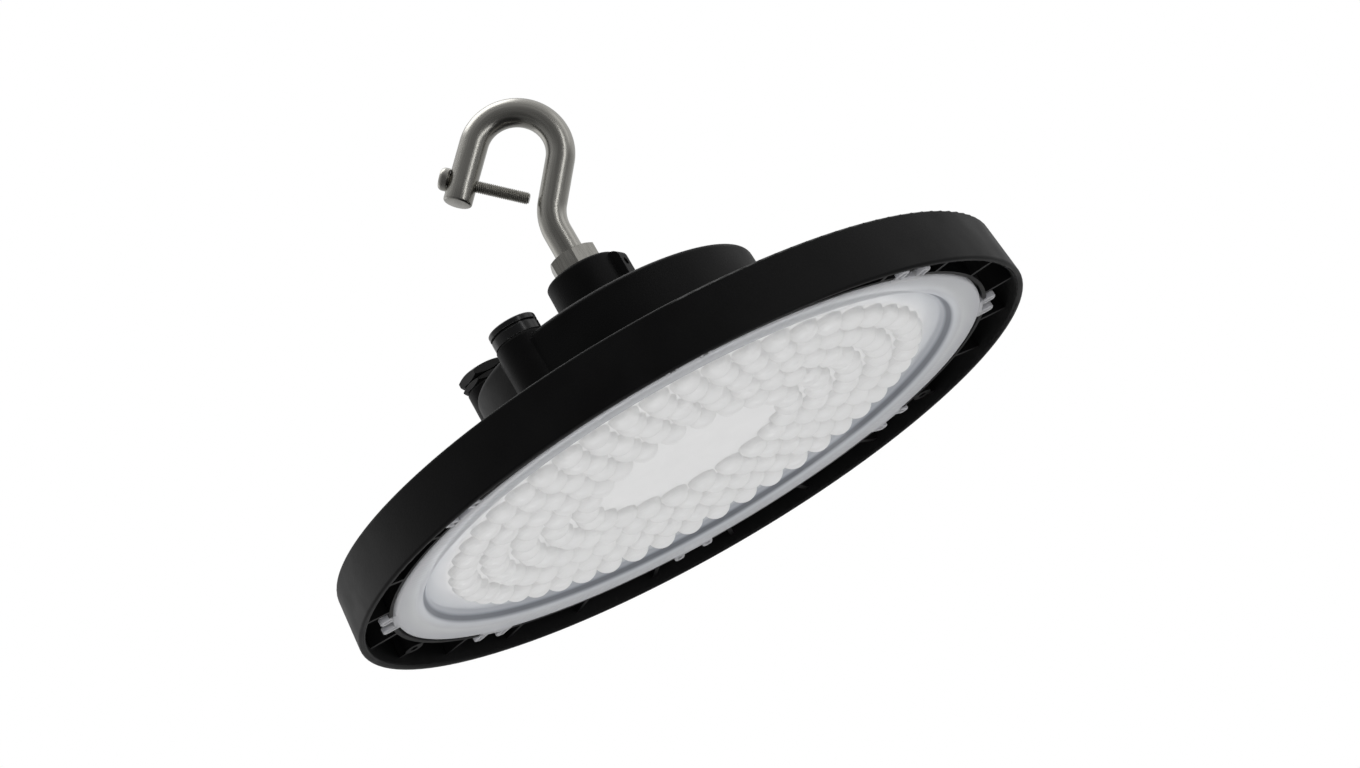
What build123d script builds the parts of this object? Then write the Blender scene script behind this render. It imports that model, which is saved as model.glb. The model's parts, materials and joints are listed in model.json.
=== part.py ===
# High bay light: a round ceiling luminaire for a tall hall, hung from a steel hook.
#
# A cast heat sink carries the outer band, the radial fins and the pan that holds the
# light engine. A clear moulded lens with one bubble over each diode closes the pan from
# below. A cast drum on top holds the power supply and the threaded boss for the hook.
#
# Lengths are millimetres and angles are degrees. The light points down: +Z runs up the
# axis to the hook, the origin is the centre of the band's bottom edge, and the hook's
# open side faces -X.
import os
from math import cos, floor, pi, radians, sin, tan

from build123d import *

os.makedirs("parts", exist_ok=True)

# Outer band
band_radius = 150.0  # outside, at the bottom edge
band_height = 23.5
band_taper = 2.0  # how much smaller the band is at its top
band_wall = 3.0
band_lip_round = 1.1

# General clearances
fit_gap = 0.1  # round a screw or a pin in its hole
seat_gap = 0.3  # beside a curved face

# Lens, moulded in one piece
lens_radius = 132.0
lens_face_height = 3.5  # the flange's face, above the band's bottom edge
lens_recess = 4.6  # depth of the bubbled floor behind the flange's face
lens_wall = 2.0
lens_flange_thickness = 2.6
lens_floor_radius = 116.5
lens_step_width = 3.5  # slanting wall between floor and flange
lens_step_round = 2.5
lens_edge_round = 0.8
dish_radius = 37.0  # smooth hollow dish at the centre
dish_depth = 1.6
bubble_rings = 5
bubble_first_radius = 46.0
bubble_ring_pitch = 13.7
bubble_pitch = 13.1  # least distance along a ring
bubble_radius = 6.35
bubble_height = 5.7
bubble_sides = 8
bubble_levels = ((1.0, 0.0), (0.82, 0.6), (0.4, 0.95))  # share of radius, of height
hollow_mouth_radius = 4.4
hollow_tip_radius = 2.4
hollow_depth = 5.4
hollow_sides = 6
tab_pairs = 8
tab_spread = 13.6  # between the two tabs of a pair
tab_width = 4.6
tab_reach = 6.7
tab_root = 1.4  # how far the pair's common root stands out of the flange
tab_bite = 1.2  # how far a tab runs into the flange
tab_wall = 1.2
tab_corner_round = 1.6

# Light engine
led_gap = 1.8  # between the lens and the diodes
led_side = 3.0
led_height = 0.7
board_radius = 112.0
board_thickness = 1.6
board_screw_radii = (37.6, 109.0)
board_screw_counts = (4, 8)
board_screw_first_angles = (8.0, 22.5)
small_screw_radius = 1.5
small_screw_length = 4.4
small_head_radius = 2.8
small_head_height = 1.9

# Heat sink, cast in one piece
pan_thickness = 3.5
pan_pocket_radius = 122.5
collar_gap = 1.2  # round the lens
collar_wall = 1.6
tab_gap = 0.5
fin_count = 24
fin_thickness = 2.0
fin_bottom = 4.0  # of the collar too
fin_outer_top = 21.5
fin_first_angle = 7.5
pedestal_radius = 66.0
pedestal_wall = 8.0
pedestal_top = 32.0
reflector_bosses = 3
reflector_boss_ring = 139.4
reflector_boss_first_angle = 37.5
reflector_boss_radius = 4.0
reflector_boss_top = 15.0
reflector_hole_radius = 1.65
reflector_hole_depth = 9.0

# Seals
lens_gasket_width = 8.0
lens_gasket_height = 1.6
drum_gasket_height = 1.6

# Driver drum, cast in one piece with its boss, lug and two ports
drum_radius = 62.6  # outside, at the top
drum_draft = 1.2  # how much wider the drum is at its foot
drum_top = 67.3
drum_wall = 3.2
drum_edge_round = 2.2
drum_web_round = 5.0
boss_radius = 15.9
boss_draft = 0.5
boss_top = 95.3
boss_edge_round = 1.6
lug_reach = 19.3
lug_width = 7.5
lug_angle = -28.0
lug_round = 3.0
port_radius = 57.2  # from the axis to each port's centre
port_outer = 10.6
port_draft = 0.6
port_bore = 7.6
port_bore_depth = 22.0
sensor_port_angle = 226.0
sensor_port_top = 68.5
supply_port_angle = 154.0
supply_port_top = 78.4

# Drum screws, put in from inside the pan
drum_screw_count = 6
drum_screw_ring = 54.0
drum_screw_first_angle = 10.0
drum_screw_radius = 2.5
drum_screw_length = 26.0
drum_head_radius = 4.4
drum_head_height = 3.2
drum_boss_radius = 6.0
drum_boss_height = 15.0

# Hook, bent from round bar
hook_bar = 12.0
hook_eye_radius = 17.9  # to the middle of the bar
hook_eye_x = 1.5
hook_eye_height = 152.6
hook_neck_angle = 52.0
hook_bend_radius = 20.0
hook_tip_angle = 47.0
hook_tip_length = 26.5
hook_foot = 66.0
hook_edge_round = 1.0
hook_hole_setback = 9.0  # from the tip to the safety screw

# Fasteners on the hook
nut_flats = 19.0
nut_height = 8.1
nut_turn = 30.0
safety_screw_radius = 2.5
safety_screw_length = 34.0
safety_head_radius = 4.8
safety_head_height = 3.6
safety_head_round = 1.6
set_screw_radius = 1.5
set_screw_below_top = 7.3
set_screw_recess = 1.0
set_screw_length = 9.0

# Sensor port cap and supply gland
cap_radius = 10.2
cap_lower = 3.6
cap_groove = 1.1
cap_groove_depth = 1.1
cap_upper = 2.4
cap_edge_round = 0.8
cap_spigot = 9.0
seal_height = 0.9
gland_flats = 20.3
gland_turn = 7.0
gland_flange = 2.3
gland_spigot = 9.0
gland_neck_radius = 7.2
gland_neck = 2.6
gland_nut_gap = 0.4
gland_nut_height = 3.6
gland_nut_roof = 1.0
gland_bush_radius = 5.6
gland_bush_bore = 4.0
gland_bush_length = 9.0

# Power supply
sheet_thickness = 0.5
supply_board_radius = 46.0
supply_board_thickness = 1.6
supply_board_height = 28.0
supply_post_ring = 40.0
supply_post_radius = 4.0
supply_posts = 4
post_hole_depth = 7.0
lead_place = (0.0, -22.0)
lead_radius = 0.9
lead_spacing = 2.6
grommet_hole = 4.0
grommet_wall = 1.2
grommet_flange = 1.5
transformer_size = (30.0, 26.0, 22.0)
transformer_place = (14.0, 8.0)
core_size = (12.0, 30.0, 17.0)
choke_radius = 10.0
choke_hole = 4.0
choke_height = 9.0
choke_place = (-14.0, 24.0)
capacitor_radius = 6.5
capacitor_height = 24.0
capacitor_places = ((-30.0, 0.0), (-16.0, -4.0), (-25.0, -15.0))
film_capacitor_size = (18.0, 8.0, 13.0)
film_capacitor_place = (18.0, -14.0)
terminal_size = (20.0, 10.0, 11.0)
terminal_place = (12.0, -30.0)
terminal_ways = 3
terminal_hole = 2.0

# Levels and radii that follow from the sizes above
flange_back = lens_face_height + lens_flange_thickness
lens_floor = lens_face_height + lens_recess
lens_back = lens_floor + lens_wall
led_bottom = lens_back + led_gap
board_bottom = led_bottom + led_height
pan_floor = board_bottom + board_thickness
pan_top = pan_floor + pan_thickness
land_bottom = flange_back + lens_gasket_height
land_top = land_bottom + pan_thickness
collar_inner = lens_radius + collar_gap
collar_outer = collar_inner + collar_wall
drum_foot = pedestal_top + drum_gasket_height
drum_ceiling = drum_top - drum_wall
supply_top = supply_board_height + supply_board_thickness
tab_pair_width = tab_spread + tab_width


on_base = (Align.CENTER, Align.CENTER, Align.MIN)


def at_angle(angle, shape):
    """Turns a shape about the light's axis."""
    return Rot(0, 0, angle) * shape


def polar(radius, angle, height=0.0):
    """Gives the location at a radius and an angle round the axis."""
    return Pos(radius * cos(radians(angle)), radius * sin(radians(angle)), height)


def turned(*points):
    """Revolves a closed outline of (radius, height) points about the axis."""
    return revolve(Plane.XZ * make_face(Polyline(*points, close=True)), Axis.Z)


def radial_plate(thickness, *points):
    """Makes an upright plate on the XZ plane from (radius, height) points."""
    outline = Plane.XZ * make_face(Polyline(*points, close=True))
    return extrude(outline, thickness / 2, both=True)


def rod(radius, bottom, top):
    """Makes an upright cylinder between two heights."""
    return Pos(0, 0, bottom) * Cylinder(radius, top - bottom, align=on_base)


def block(size, place, bottom):
    """Makes a box that stands on a height."""
    return Pos(place[0], place[1], bottom) * Box(*size, align=on_base)


def hexagon(flats, bottom, top, turn):
    """Makes an upright hexagonal prism with its end corners turned off at 30 degrees."""
    prism = extrude(RegularPolygon(flats / 2, 6, major_radius=False), top - bottom)
    prism = Pos(0, 0, bottom) * Rot(0, 0, turn) * prism
    corner = flats / 2 / cos(radians(30))
    drop = (corner - flats / 2) * tan(radians(30))
    barrel = turned(
        (0, bottom),
        (flats / 2, bottom),
        (corner, bottom + drop),
        (corner, top - drop),
        (flats / 2, top),
        (0, top),
    )
    return prism & barrel


def rounded_cap(radius, bottom, top, rounding):
    """Makes a short upright cylinder with a rounded top edge."""
    body = rod(radius, bottom, top)
    return fillet(body.edges().sort_by(Axis.Z)[-1], rounding)


def bubble_places():
    """Lists the centre of every bubble, ring by ring."""
    places = []
    for ring in range(bubble_rings):
        radius = bubble_first_radius + ring * bubble_ring_pitch
        count = floor(2 * pi * radius / bubble_pitch)
        for step in range(count):
            angle = 360.0 * step / count
            places.append((radius * cos(radians(angle)), radius * sin(radians(angle))))
    return places


def board_screw_places():
    """Lists where the small screws hold the diode board."""
    places = []
    for radius, count, first in zip(board_screw_radii, board_screw_counts, board_screw_first_angles):
        for step in range(count):
            places.append((radius, first + 360.0 * step / count))
    return places


def drum_screw_places():
    """Lists where the drum is screwed down."""
    turn = 360.0 / drum_screw_count
    return [(drum_screw_ring, drum_screw_first_angle + turn * step) for step in range(drum_screw_count)]


def supply_post_places():
    """Lists where the power supply board is screwed down."""
    turn = 360.0 / supply_posts
    return [(supply_post_ring, turn * (step + 0.5)) for step in range(supply_posts)]


def reflector_boss_places():
    """Lists the bosses on the fins that can take a reflector's screws."""
    turn = 360.0 / reflector_bosses
    first = reflector_boss_first_angle
    return [(reflector_boss_ring, first + turn * step) for step in range(reflector_bosses)]


def heat_sink():
    """Casts the band, the fins, the pan and the drum's pedestal as one piece."""
    top_outer = band_radius - band_taper
    band = turned(
        (band_radius - band_wall, 0),
        (band_radius, 0),
        (top_outer, band_height),
        (top_outer - band_wall, band_height),
    )
    band = fillet(band.edges(), band_lip_round)
    step_outer = pan_pocket_radius + pan_thickness
    pan = turned(
        (0, pan_floor),
        (pan_pocket_radius, pan_floor),
        (pan_pocket_radius, land_bottom),
        (collar_inner, land_bottom),
        (collar_inner, fin_bottom),
        (collar_outer, fin_bottom),
        (collar_outer, land_top),
        (step_outer, land_top),
        (step_outer, pan_top),
        (pedestal_radius, pan_top),
        (pedestal_radius, pedestal_top),
        (pedestal_radius - pedestal_wall, pedestal_top),
        (pedestal_radius - pedestal_wall, pan_top),
        (0, pan_top),
    )
    notch = Box(4 * collar_wall, tab_pair_width + 2 * tab_gap, 2 * (land_bottom - fin_bottom))
    for step in range(tab_pairs):
        pan -= at_angle(360.0 * step / tab_pairs, Pos(collar_outer, 0, fin_bottom) * notch)
    inner = pedestal_radius - pedestal_wall / 2
    bite = band_wall / 2
    long_fin = radial_plate(
        fin_thickness,
        (inner, pan_top - bite),
        (step_outer - bite, pan_top - bite),
        (step_outer - bite, land_top - bite),
        (collar_outer - bite, land_top - bite),
        (collar_outer - bite, fin_bottom),
        (top_outer - bite, fin_bottom),
        (top_outer - bite, fin_outer_top),
        (inner, pedestal_top),
    )
    short_fin = radial_plate(
        fin_thickness,
        (inner, pan_top - bite),
        (step_outer - bite, pan_top - bite),
        (step_outer - bite, fin_outer_top),
        (inner, pedestal_top - bite),
    )
    turn = 360.0 / fin_count
    fins = [at_angle(fin_first_angle + turn * step, long_fin) for step in range(fin_count)]
    fins += [at_angle(fin_first_angle + turn * (step + 0.5), short_fin) for step in range(fin_count)]
    casting = band.fuse(pan, *fins)
    for radius, angle in drum_screw_places():
        casting += polar(radius, angle) * rod(drum_boss_radius, pan_floor, pedestal_top)
    for radius, angle in supply_post_places():
        casting += polar(radius, angle) * rod(supply_post_radius, pan_floor, supply_board_height)
    for radius, angle in reflector_boss_places():
        casting += polar(radius, angle) * rod(reflector_boss_radius, fin_bottom, reflector_boss_top)
    holes = []
    for radius, angle in reflector_boss_places():
        top = fin_bottom + reflector_hole_depth
        holes.append(polar(radius, angle) * rod(reflector_hole_radius, fin_bottom, top))
    for radius, angle in drum_screw_places():
        place = polar(radius, angle)
        seat = pan_floor + drum_head_height + seat_gap
        holes.append(place * rod(drum_head_radius + seat_gap, pan_floor, seat))
        holes.append(place * rod(drum_screw_radius + seat_gap, pan_floor, pedestal_top))
    for radius, angle in supply_post_places():
        bottom = supply_board_height - post_hole_depth
        holes.append(polar(radius, angle) * rod(small_screw_radius + fit_gap, bottom, supply_board_height))
    for radius, angle in board_screw_places():
        top = board_bottom + small_screw_length + seat_gap
        holes.append(polar(radius, angle) * rod(small_screw_radius + fit_gap, pan_floor, top))
    holes.append(Pos(*lead_place) * rod(grommet_hole, pan_floor, pan_top))
    return casting.cut(*holes)


def drum_plan():
    """Draws the drum's outline with both ports and the rounded corners beside them."""
    plan = Circle(drum_radius)
    centres = []
    for angle in (sensor_port_angle, supply_port_angle):
        place = polar(port_radius, angle)
        plan += place * Circle(port_outer)
        centres.append(place.position)
    corners = []
    for vertex in plan.vertices():
        for centre in centres:
            on_port = abs((Vector(vertex) - centre).length - port_outer) < fit_gap
            on_drum = abs(Vector(vertex).length - drum_radius) < fit_gap
            if on_port and on_drum:
                corners.append(vertex)
    return fillet(corners, drum_web_round)


def driver_housing():
    """Casts the drum with its hook boss, its lug and its two ports."""
    foot_radius = drum_radius + drum_draft
    body = turned((0, drum_foot), (foot_radius, drum_foot), (drum_radius, drum_top), (0, drum_top))
    body = fillet(body.edges().sort_by(Axis.Z)[-1], drum_edge_round)
    web_top = drum_top - drum_edge_round
    body += Pos(0, 0, drum_foot) * extrude(drum_plan(), web_top - drum_foot)
    ports = ((sensor_port_angle, sensor_port_top), (supply_port_angle, supply_port_top))
    for angle, top in ports:
        post = turned((0, drum_foot), (port_outer + port_draft, drum_foot), (port_outer, top), (0, top))
        body += polar(port_radius, angle) * post
    boss_foot = boss_radius + boss_draft
    boss = turned((0, drum_ceiling), (boss_foot, drum_ceiling), (boss_radius, boss_top), (0, boss_top))
    body += fillet(boss.edges().sort_by(Axis.Z)[-1], boss_edge_round)
    lug_height = boss_top - boss_edge_round - drum_ceiling
    lug = block((lug_reach, lug_width, lug_height), (lug_reach / 2, 0), drum_ceiling)
    lug_corner = lug.edges().filter_by(Axis.Y).group_by(Axis.Z)[-1].sort_by(Axis.X)[-1]
    body += at_angle(lug_angle, fillet(lug_corner, lug_round))
    body -= rod(drum_radius - drum_wall, drum_foot, drum_ceiling)
    for angle, top in ports:
        body -= polar(port_radius, angle) * rod(port_bore, top - port_bore_depth, top)
    for radius, angle in drum_screw_places():
        body += polar(radius, angle) * rod(drum_boss_radius, drum_foot, drum_foot + drum_boss_height)
    for radius, angle in drum_screw_places():
        top = drum_foot + drum_boss_height - drum_wall
        body -= polar(radius, angle) * rod(drum_screw_radius + fit_gap, drum_foot, top)
    body -= rod(hook_bar / 2 + fit_gap, drum_ceiling, boss_top)
    height = boss_top - set_screw_below_top
    lug_hole = Rot(0, 90, 0) * rod(set_screw_radius + fit_gap, 0, lug_reach)
    return body - at_angle(lug_angle, Pos(0, 0, height) * lug_hole)


def housing_gasket():
    """Makes the flat seal between the pedestal and the drum."""
    outer = rod(drum_radius + drum_draft, pedestal_top, drum_foot)
    gasket = outer - rod(pedestal_radius - pedestal_wall, pedestal_top, drum_foot)
    for radius, angle in drum_screw_places():
        gasket += polar(radius, angle) * rod(drum_boss_radius, pedestal_top, drum_foot)
    for radius, angle in drum_screw_places():
        gasket -= polar(radius, angle) * rod(drum_screw_radius + seat_gap, pedestal_top, drum_foot)
    return gasket


def pan_head_screw(radius, length, head_radius, head_height, rounding):
    """Makes a screw that points up +Z with the underside of its head at the origin."""
    head = fillet(rod(head_radius, -head_height, 0).edges().sort_by(Axis.Z)[0], rounding)
    shank = chamfer(rod(radius, 0, length).edges().sort_by(Axis.Z)[-1], radius / 5)
    return head + shank


def housing_screws():
    """Makes the screws that pull the drum down onto the heat sink."""
    screw = pan_head_screw(
        drum_screw_radius, drum_screw_length, drum_head_radius, drum_head_height, drum_head_height / 4
    )
    seat = pan_floor + drum_head_height + seat_gap
    return Compound([polar(radius, angle, seat) * screw for radius, angle in drum_screw_places()])


def hook_line():
    """Draws the middle line of the hook's bar, from its threaded foot to its tip."""
    neck = radians(hook_neck_angle)
    start = hook_neck_angle - 90.0
    sweep_angle = 90.0 + hook_tip_angle - start
    joint_x = hook_eye_x + hook_eye_radius * cos(radians(start))
    joint_z = hook_eye_height + hook_eye_radius * sin(radians(start))
    corner_z = joint_z - joint_x * tan(neck)
    setback = hook_bend_radius * tan(radians(90.0 - hook_neck_angle) / 2)
    bend_end = (setback * cos(neck), corner_z + setback * sin(neck))
    foot = Line((0, hook_foot), (0, corner_z - setback))
    bend = CenterArc((hook_bend_radius, corner_z - setback), hook_bend_radius, 180, hook_neck_angle - 90.0)
    straight = Line(bend_end, (joint_x, joint_z))
    eye = CenterArc((hook_eye_x, hook_eye_height), hook_eye_radius, start, sweep_angle)
    tip = PolarLine(eye @ 1, hook_tip_length, hook_tip_angle - 180.0)
    return Plane.XZ * Wire([foot.edge(), bend.edge(), straight.edge(), eye.edge(), tip.edge()])


def safety_screw_frame():
    """Gives the place where the safety screw crosses the tip, with Z along the screw."""
    line = hook_line()
    tip = line @ 1
    back = line % 1
    centre = tip - back * hook_hole_setback
    inward = Vector(sin(radians(hook_tip_angle)), 0, -cos(radians(hook_tip_angle)))
    return Plane(origin=centre, z_dir=inward)


def hook():
    """Bends the hook from round bar and drills its tip for the safety screw."""
    line = hook_line()
    section = Plane(origin=line @ 0, z_dir=line % 0) * Circle(hook_bar / 2)
    bar = sweep(section, path=line)
    rims = bar.edges().filter_by(GeomType.CIRCLE)
    tip = rims.sort_by_distance(line @ 1)[0]
    foot = rims.sort_by_distance(line @ 0)[0]
    bar = fillet([tip, foot], hook_edge_round)
    drill = Cylinder(safety_screw_radius + fit_gap, 2 * hook_bar)
    return bar - safety_screw_frame() * drill


def hook_safety_screw():
    """Makes the screw that bars the hook's mouth."""
    screw = pan_head_screw(
        safety_screw_radius, safety_screw_length, safety_head_radius, safety_head_height, safety_head_round
    )
    return safety_screw_frame() * Pos(0, 0, -hook_bar / 2 - fit_gap) * screw


def hook_lock_nut():
    """Makes the nut that locks the hook on the boss."""
    nut = hexagon(nut_flats, boss_top, boss_top + nut_height, nut_turn)
    return nut - rod(hook_bar / 2 + fit_gap, boss_top, boss_top + nut_height)


def hook_set_screw():
    """Makes the grub screw in the boss's lug, with its hexagon socket."""
    outer = lug_reach - set_screw_recess
    grub = rod(set_screw_radius, outer - set_screw_length, outer)
    socket = extrude(RegularPolygon(set_screw_radius / 2, 6), set_screw_radius)
    socket = Pos(0, 0, outer - set_screw_radius) * socket
    grub = Rot(0, 90, 0) * (grub - socket)
    return at_angle(lug_angle, Pos(0, 0, boss_top - set_screw_below_top) * grub)


def sensor_port_cap():
    """Makes the round grooved cap that closes the sensor port."""
    bottom = sensor_port_top + seal_height
    waist = bottom + cap_lower
    shoulder = waist + cap_groove
    cap = rod(cap_radius, bottom, waist)
    cap += rod(cap_radius - cap_groove_depth, waist, shoulder)
    cap += rounded_cap(cap_radius, shoulder, shoulder + cap_upper, cap_edge_round)
    cap += rod(port_bore - seat_gap, sensor_port_top - cap_spigot, bottom)
    return polar(port_radius, sensor_port_angle) * cap


def port_seal(angle, bottom):
    """Makes the flat ring seal under a cap or a gland."""
    ring = rod(cap_radius - cap_groove_depth / 2, bottom, bottom + seal_height)
    return polar(port_radius, angle) * (ring - rod(port_bore, bottom, bottom + seal_height))


def supply_gland_body():
    """Makes the gland's threaded body with its hexagon flange."""
    bottom = supply_port_top + seal_height
    flange_top = bottom + gland_flange
    neck_top = flange_top + gland_neck
    body = hexagon(gland_flats, bottom, flange_top, gland_turn)
    body += rod(port_bore - seat_gap, supply_port_top - gland_spigot, bottom)
    body += rod(gland_neck_radius, flange_top, neck_top)
    body -= rod(gland_bush_radius + fit_gap, neck_top - gland_bush_length, neck_top)
    body -= rod(gland_bush_bore, supply_port_top - gland_spigot, neck_top)
    return polar(port_radius, supply_port_angle) * body


def supply_gland_nut():
    """Makes the gland's clamping nut, hollow over the body's neck."""
    bottom = supply_port_top + seal_height + gland_flange + gland_nut_gap
    top = bottom + gland_nut_height
    nut = hexagon(gland_flats, bottom, top, gland_turn)
    nut -= rod(gland_neck_radius + fit_gap, bottom, top - gland_nut_roof)
    nut -= rod(gland_bush_bore + seat_gap, bottom, top)
    return polar(port_radius, supply_port_angle) * nut


def supply_gland_seal():
    """Makes the rubber bush that grips the supply cord."""
    top = supply_port_top + seal_height + gland_flange + gland_neck
    bottom = top - gland_bush_length + fit_gap
    bush = rod(gland_bush_radius, bottom, top) - rod(gland_bush_bore, bottom, top)
    return polar(port_radius, supply_port_angle) * bush


def bubble():
    """Makes one faceted bubble that bulges down from the lens floor."""
    sections = []
    for share, depth in bubble_levels:
        height = lens_floor - depth * bubble_height
        sections.append(Pos(0, 0, height) * RegularPolygon(share * bubble_radius, bubble_sides))
    lower = [loft(sections[level : level + 2], ruled=True) for level in range(len(sections) - 1)]
    root = Pos(0, 0, lens_floor) * extrude(RegularPolygon(bubble_radius, bubble_sides), lens_wall / 2)
    return lower[0].fuse(*lower[1:], root)


def bubble_hollow():
    """Makes the hollow that each bubble has behind it, over its diode."""
    mouth = Pos(0, 0, lens_back) * RegularPolygon(hollow_mouth_radius, hollow_sides)
    tip = Pos(0, 0, lens_back - hollow_depth) * RegularPolygon(hollow_tip_radius, hollow_sides)
    return loft([tip, mouth], ruled=True)


def tab_pair():
    """Makes one pair of open edge tabs on their common root, reaching towards +X."""
    root_middle = lens_radius + (tab_root - tab_bite) / 2
    tab_middle = lens_radius + (tab_reach - tab_bite) / 2
    outline = Pos(root_middle, 0) * Rectangle(tab_bite + tab_root, tab_pair_width)
    for side in (-1, 1):
        middle = side * tab_spread / 2
        tab = Pos(tab_middle, middle) * Rectangle(tab_bite + tab_reach, tab_width)
        tab = fillet(tab.vertices().group_by(Axis.X)[-1], tab_corner_round)
        window_length = tab_reach - tab_root - tab_wall
        window_middle = lens_radius + tab_root + window_length / 2
        tab -= Pos(window_middle, middle) * Rectangle(window_length, tab_width - 2 * tab_wall)
        outline += tab
    return Pos(0, 0, lens_face_height) * extrude(outline, lens_flange_thickness)


def lens_cover():
    """Moulds the lens: bubbled floor, slanting step, flange and edge tabs."""
    step_radius = lens_floor_radius + lens_step_width
    shell_outline = make_face(
        Polyline(
            (dish_radius, lens_floor),
            (lens_floor_radius, lens_floor),
            (step_radius, lens_face_height + lens_edge_round),
            (step_radius + lens_step_round, lens_face_height),
            (lens_radius - lens_edge_round, lens_face_height),
            (lens_radius, lens_face_height + lens_edge_round),
            (lens_radius, flange_back),
            (step_radius + lens_wall / 2, flange_back),
            (lens_floor_radius + lens_wall / 2, lens_back),
            (dish_radius, lens_back),
            close=True,
        )
    )
    lens = revolve(Plane.XZ * shell_outline, Axis.Z)
    face_top = (0, lens_floor + dish_depth)
    back_top = (0, lens_back + dish_depth)
    face_arc = ThreePointArc((-dish_radius, lens_floor), face_top, (dish_radius, lens_floor))
    back_arc = ThreePointArc((dish_radius, lens_back), back_top, (-dish_radius, lens_back))
    sides = Line(face_arc @ 1, back_arc @ 0) + Line(back_arc @ 1, face_arc @ 0)
    dish_outline = make_face([face_arc.edge(), back_arc.edge(), *sides.edges()])
    half = Pos(dish_radius, lens_floor) * Rectangle(2 * dish_radius, 4 * (lens_wall + dish_depth))
    lens += revolve(Plane.XZ * (dish_outline & half), Axis.Z)
    one_bubble = bubble()
    one_hollow = bubble_hollow()
    one_pair = tab_pair()
    bubbles = [Pos(x, y, 0) * one_bubble for x, y in bubble_places()]
    hollows = [Pos(x, y, 0) * one_hollow for x, y in bubble_places()]
    pairs = [at_angle(360.0 * step / tab_pairs, one_pair) for step in range(tab_pairs)]
    return lens.fuse(*bubbles, *pairs).cut(*hollows)


def lens_gasket():
    """Makes the ring seal between the lens flange and the pan."""
    middle = (pan_pocket_radius + lens_radius) / 2
    outer = rod(middle + lens_gasket_width / 2, flange_back, land_bottom)
    return outer - rod(middle - lens_gasket_width / 2, flange_back, land_bottom)


def led_board():
    """Makes the round board that carries the diodes."""
    board = rod(board_radius, board_bottom, pan_floor)
    holes = []
    for radius, angle in board_screw_places():
        holes.append(polar(radius, angle) * rod(small_screw_radius + fit_gap, board_bottom, pan_floor))
    for side in (-1, 1):
        place = Pos(lead_place[0] + side * lead_spacing / 2, lead_place[1], 0)
        holes.append(place * rod(lead_radius + fit_gap, board_bottom, pan_floor))
    return board.cut(*holes)


def led_chips():
    """Makes one diode over each bubble."""
    chip = Box(led_side, led_side, led_height, align=on_base)
    return Compound([Pos(x, y, led_bottom) * chip for x, y in bubble_places()])


def board_screws():
    """Makes the screws that press the diode board onto the pan."""
    screw = pan_head_screw(
        small_screw_radius, small_screw_length, small_head_radius, small_head_height, small_head_height / 3
    )
    return Compound([polar(radius, angle, board_bottom) * screw for radius, angle in board_screw_places()])


def lead_grommet():
    """Makes the rubber grommet that leads the wires through the pan."""
    sleeve = rod(grommet_hole - fit_gap, pan_floor, pan_top)
    flange = rod(grommet_hole + grommet_flange, pan_top, pan_top + grommet_wall)
    bore = rod(grommet_hole - grommet_wall, pan_floor, pan_top + grommet_wall)
    return Pos(*lead_place) * (sleeve + flange - bore)


def led_leads():
    """Makes the two wires from the power supply to the diode board."""
    wires = []
    for side in (-1, 1):
        place = Pos(lead_place[0] + side * lead_spacing / 2, lead_place[1], 0)
        wires.append(place * rod(lead_radius, board_bottom, supply_board_height))
    return Compound(wires)


def insulation_sheet():
    """Makes the plastic sheet under the power supply."""
    top = pan_top + sheet_thickness
    holes = []
    for radius, angle in supply_post_places():
        holes.append(polar(radius, angle) * rod(supply_post_radius + seat_gap, pan_top, top))
    holes.append(Pos(*lead_place) * rod(grommet_hole + grommet_flange + seat_gap, pan_top, top))
    return rod(supply_board_radius, pan_top, top).cut(*holes)


def driver_board():
    """Makes the power supply's circuit board."""
    hole = rod(small_screw_radius + fit_gap, supply_board_height, supply_top)
    holes = [polar(radius, angle) * hole for radius, angle in supply_post_places()]
    return rod(supply_board_radius, supply_board_height, supply_top).cut(*holes)


def driver_screws():
    """Makes the screws that hold the power supply on its posts."""
    screw = pan_head_screw(
        small_screw_radius, small_screw_length, small_head_radius, small_head_height, small_head_height / 3
    )
    screw = Rot(180, 0, 0) * screw
    return Compound([polar(radius, angle, supply_top) * screw for radius, angle in supply_post_places()])


def driver_transformer():
    """Makes the transformer: a wound bobbin inside its ferrite core."""
    bobbin = block(transformer_size, transformer_place, supply_top)
    core = block(core_size, transformer_place, supply_top)
    return bobbin + core


def driver_capacitors():
    """Makes the upright electrolytic capacitors."""
    can = rounded_cap(capacitor_radius, supply_top, supply_top + capacitor_height, 1.0)
    return Compound([Pos(x, y, 0) * can for x, y in capacitor_places])


def driver_choke():
    """Makes the ring choke that lies on the board."""
    ring = rod(choke_radius, supply_top, supply_top + choke_height)
    return Pos(*choke_place) * (ring - rod(choke_hole, supply_top, supply_top + choke_height))


def driver_film_capacitor():
    """Makes the boxed mains capacitor."""
    return block(film_capacitor_size, film_capacitor_place, supply_top)


def driver_terminal_block():
    """Makes the screw terminals for the supply cord."""
    body = block(terminal_size, terminal_place, supply_top)
    middle_x, middle_y = terminal_place
    length, depth, height = terminal_size
    mouth = Rot(90, 0, 0) * Cylinder(terminal_hole, depth)
    screw_well = Cylinder(terminal_hole, terminal_hole)
    for way in range(terminal_ways):
        x = middle_x + (way - (terminal_ways - 1) / 2) * length / terminal_ways
        body -= Pos(x, middle_y - depth / 2, supply_top + height / 3) * mouth
        body -= Pos(x, middle_y, supply_top + height) * screw_well
    return body


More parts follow.
